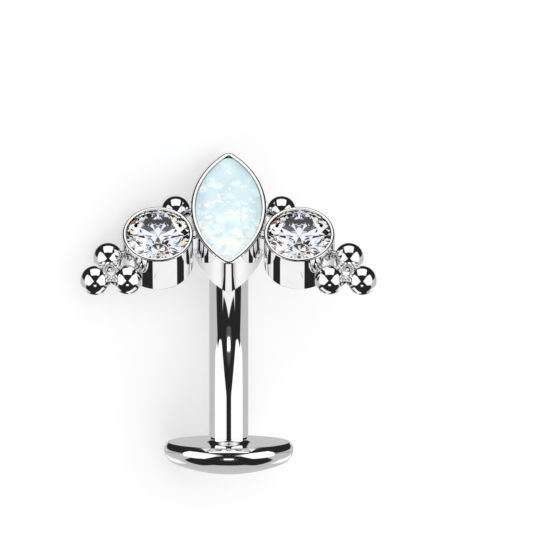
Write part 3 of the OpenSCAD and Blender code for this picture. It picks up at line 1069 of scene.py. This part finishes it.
def seen_through_stones(nodes, lie, ray):
    """White all round, with dark spots over the camera and beside it, and further off dark blots that
    are scattered by noise. Red, green and blue are read a little apart, so each blot has an orange
    and a blue side."""
    spots = [
        dot(nodes, ray, direction(lie, azimuth, elevation)).between(
            math.cos(math.radians(radius + 1)), math.cos(math.radians(radius - 1)))
        for azimuth, elevation, radius in STONE_SPOTS
    ]
    dark = SPOT_DEPTH * spots[0].maximum(spots[1]).maximum(spots[2])
    further = 1 - dot(nodes, ray, direction(lie, 0, 30)).between(0.75, 0.85)
    channels = {}
    for name, apart in (("Red", -0.01), ("Green", 0), ("Blue", 0.01)):
        place = nodes.add("ShaderNodeVectorMath", {"operation": "ADD"}, {
            0: ray, 1: tuple(apart * (lie.up + lie.right))})
        blots = nodes.noise(place, 3.2, 1).between(0.53, 0.58)
        channels[name] = 1 - (BLOT_DEPTH * further * blots).maximum(dark)
    return nodes.add("ShaderNodeCombineColor", {}, channels)


def studio_world(lie):
    """What polished metal and clear stones mirror: a dark room over a pale grey table, a box of light
    overhead, one on each side and a small lamp low in front. The camera and soft surfaces see plain
    white light all round. What is seen through the cut stones has its own pattern."""
    world = bpy.data.worlds.new("studio")
    bpy.context.scene.world = world
    nodes = Nodes(world)
    ray = nodes.add("ShaderNodeTexCoord", output="Generated")
    horizon = unit(lie.up - math.tan(math.radians(HORIZON)) * lie.away)
    light = TABLE_GREY + (DARK - TABLE_GREY) * dot(nodes, ray, horizon).between(-0.02, 0.02)
    light = light + (DARK - light) * patch(nodes, lie, ray, LOW_DARK)
    light = light + (TABLE_GREY - light) * patch(nodes, lie, ray, BACK_GAP)
    for corners in (WALL_GLOW, other_side(WALL_GLOW)):
        light = light.maximum(WALL_LIGHT * patch(nodes, lie, ray, corners, softness=0.09))
    for corners in (CEILING, RIGHT_BOX, other_side(RIGHT_BOX)):
        light = light.maximum(BOX_LIGHT * patch(nodes, lie, ray, corners))
    light = light.maximum(LAMP_LIGHT * patch(nodes, lie, ray, FRONT_LAMP, softness=0.03))
    light = light + LAMP_GLOW * dot(nodes, ray, direction(lie, 0, -38)).between(0.955, 0.999)
    soft = nodes.add("ShaderNodeLightPath", output="Is Diffuse Ray")
    plain, through = soft.maximum(soft.other("Is Camera Ray")), soft.other("Is Transmission Ray")
    colour = nodes.mix(through, (1, 1, 1), seen_through_stones(nodes, lie, ray))
    strength = light + (SOFT_LIGHT - light) * plain
    strength = strength + (STONE_LIGHT - strength) * through
    background = nodes.add("ShaderNodeBackground", {}, {"Color": colour, "Strength": strength})
    nodes.add("ShaderNodeOutputWorld", {}, {"Surface": background})


def card_material(stage, lie):
    """A white arrow on a black card, under the disc. The arrow points to the camera's side. What lies
    near the card, as the disc does, sees through it. The arrow's outline is made of straight
    lines: at each place behind the disc's middle they say how far to either side it is white."""
    material, nodes = new_material("low_card")
    place = nodes.add("ShaderNodeTexCoord", output="Object")
    aside = abs(dot(nodes, place, lie.right) - float(lie.disc @ lie.right))
    behind = dot(nodes, place, lie.away) - float(lie.disc @ lie.away)
    half, soft = stage.card_half, 0.15 * MM
    # It is narrow at the waist, widens from there both ways, and narrows again to a straight rear
    past_waist = behind + stage.card_waist
    widening = (WAIST_BACK * past_waist).maximum(-WAIST_FRONT * past_waist)
    rear = (half - REAR_MIDDLE - REAR_IN * behind).maximum(half - REAR_END)
    sides = rear.minimum(half + widening)
    # Its front is a point between two barbs, which reach further forwards for long rays. Those come
    # from the round cups.
    length = nodes.add("ShaderNodeLightPath", output="Ray Length")
    barbs = -stage.card_barbs - BARB_GROWTH * (length - LONG_WAY).maximum(0)
    front = (POINT_BACK * aside - stage.card_point).minimum(barbs)
    white = (sides - aside).between(-soft, soft) * (behind - front).between(-soft, soft)
    colour = nodes.mix(white, (DARK, DARK, DARK), (1, 1, 1))
    emission = nodes.add("ShaderNodeEmission", {}, {"Color": colour})
    clear = nodes.add("ShaderNodeBsdfTransparent")
    far = length.between(CARD_NEAR, CARD_FAR)
    shader = nodes.add("ShaderNodeMixShader", {}, {0: far, 1: clear, 2: emission})
    nodes.add("ShaderNodeOutputMaterial", {}, {"Surface": shader})
    return material


def floor_material(stage):
    """Plain matt table, lit a little from below so that shadows on it stay faint."""
    material, nodes = new_material("table")
    place = nodes.add("ShaderNodeTexCoord", output="Object")
    colour = nodes.mix(nodes.noise(place, 400, 2), stage.floor, darker(stage.floor, 0.98))
    shader = nodes.add("ShaderNodeBsdfPrincipled", {}, {
        "Base Color": colour, "Roughness": 0.9, "Emission Color": (1, 1, 1, 1),
        "Emission Strength": stage.floor_glow})
    nodes.add("ShaderNodeOutputMaterial", {}, {"Surface": shader})
    return material


class BELLYBAR_OT_stage(bpy.types.Operator):
    """Make the table, the low card, the studio light and the camera"""

    bl_idname = "belly_bar.make_stage"
    bl_label = "Stage"

    def execute(self, context):
        settings = settings_of(context)
        stage = settings.stage
        lie = Lie(settings)
        self.add_floor(stage)
        self.add_card(stage, lie)
        studio_world(lie)
        self.add_light(context, lie)
        self.add_camera(context, stage, lie)
        context.scene.view_settings.view_transform = "Standard"
        return {"FINISHED"}

    def add_floor(self, stage, half=1.5):
        """A square table whose top is the plane that the part lies on."""
        mesh = bpy.data.meshes.new("table")
        corners = [(-half, -half, 0), (half, -half, 0), (half, half, 0), (-half, half, 0)]
        mesh.from_pydata(corners, [], [(0, 1, 2, 3)])
        mesh.materials.append(floor_material(stage))
        table = bpy.data.objects.new("table", mesh)
        bpy.context.scene.collection.objects.link(table)
        table.visible_glossy = False
        table.visible_transmission = False

    def add_card(self, stage, lie):
        """A flat card under the disc. Only polished metal mirrors it. It leaves no shadow and lights no
        soft surface."""
        edge = at_height(MM * np.array(CARD_EDGE), -CARD_DROP)
        corners = np.vstack([edge, edge * [-1, 1, 1]])
        # A strip from each pair of corners to the next, but for the third step, which has no depth
        count = len(edge)
        faces = [(row, row + 1, row + 1 + count, row + count) for row in (0, 1, 3, 4)]
        mesh = bpy.data.meshes.new("low_card")
        mesh.from_pydata(lie.standing(corners).tolist(), [], faces)
        mesh.materials.append(card_material(stage, lie))
        card = bpy.data.objects.new("low_card", mesh)
        bpy.context.scene.collection.objects.link(card)
        card.visible_camera = False
        card.visible_diffuse = False
        card.visible_shadow = False
        card.visible_transmission = False

    def add_light(self, context, lie):
        """A wide soft lamp beside the camera's line of sight, so that the part hides its own shadow."""
        toward = unit(0.25 * lie.up - 0.93 * lie.away + 0.05 * lie.right)
        lamp = bpy.data.lights.new("soft_lamp", "AREA")
        lamp.shape, lamp.size, lamp.energy = "DISK", LAMP_SIZE, LAMP_POWER
        holder = bpy.data.objects.new("soft_lamp", lamp)
        holder.rotation_euler = Vector(toward).to_track_quat("Z", "Y").to_euler()
        holder.location = LAMP_DISTANCE * toward
        holder.visible_glossy = False
        holder.visible_transmission = False
        context.scene.collection.objects.link(holder)

    def add_camera(self, context, stage, lie):
        """The camera looks as the photograph does, a little down on the disc's plane, from so far
        off that it has next to no perspective, with the disc's axis upright in the picture."""
        toward = math.sin(stage.raise_angle) * lie.up - math.cos(stage.raise_angle) * lie.away
        image_up = math.cos(stage.raise_angle) * lie.up + math.sin(stage.raise_angle) * lie.away
        axes = np.array([lie.right, image_up, toward])
        data = bpy.data.cameras.new("camera")
        data.lens = data.sensor_width * stage.distance / stage.picture_width
        data.clip_start, data.clip_end = 0.01, 10
        camera = bpy.data.objects.new("camera", data)
        stand = Matrix(axes).transposed().to_4x4()
        stand.translation = lie.disc + LOOK_AT @ axes + stage.distance * toward
        camera.matrix_world = stand
        context.scene.collection.objects.link(camera)
        context.scene.camera = camera


class BELLYBAR_PT_panel(bpy.types.Panel):
    """Lists the pieces of the belly bar, in the sidebar of the 3D view."""

    bl_idname = "BELLYBAR_PT_panel"
    bl_label = "Belly bar"
    bl_space_type = "VIEW_3D"
    bl_region_type = "UI"
    bl_category = "Belly Bar"

    def draw(self, context):
        for operator in OPERATORS:
            self.layout.operator(operator.bl_idname)


OPERATORS = (
    BELLYBAR_OT_bar, BELLYBAR_OT_cups, BELLYBAR_OT_beads, BELLYBAR_OT_pin, BELLYBAR_OT_stones,
    BELLYBAR_OT_stage,
)
CLASSES = (
    BELLYBAR_PG_bar, BELLYBAR_PG_top, BELLYBAR_PG_stones, BELLYBAR_PG_finish, BELLYBAR_PG_stage,
    BELLYBAR_PG_settings, *OPERATORS, BELLYBAR_PT_panel,
)


def register():
    """Adds the classes, and the settings to the scene."""
    for item in CLASSES:
        bpy.utils.register_class(item)
    bpy.types.Scene.belly_bar = PointerProperty(type=BELLYBAR_PG_settings)


def unregister():
    """Takes them away again."""
    del bpy.types.Scene.belly_bar
    for item in reversed(CLASSES):
        bpy.utils.unregister_class(item)


def main():
    """Registers the add-on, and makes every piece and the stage."""
    register()
    bpy.ops.belly_bar.make_bar()
    bpy.ops.belly_bar.make_cups()
    bpy.ops.belly_bar.make_beads()
    bpy.ops.belly_bar.make_pin()
    bpy.ops.belly_bar.make_stones()
    bpy.ops.belly_bar.make_stage()
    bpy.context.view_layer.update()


if __name__ == "__main__":
    main()
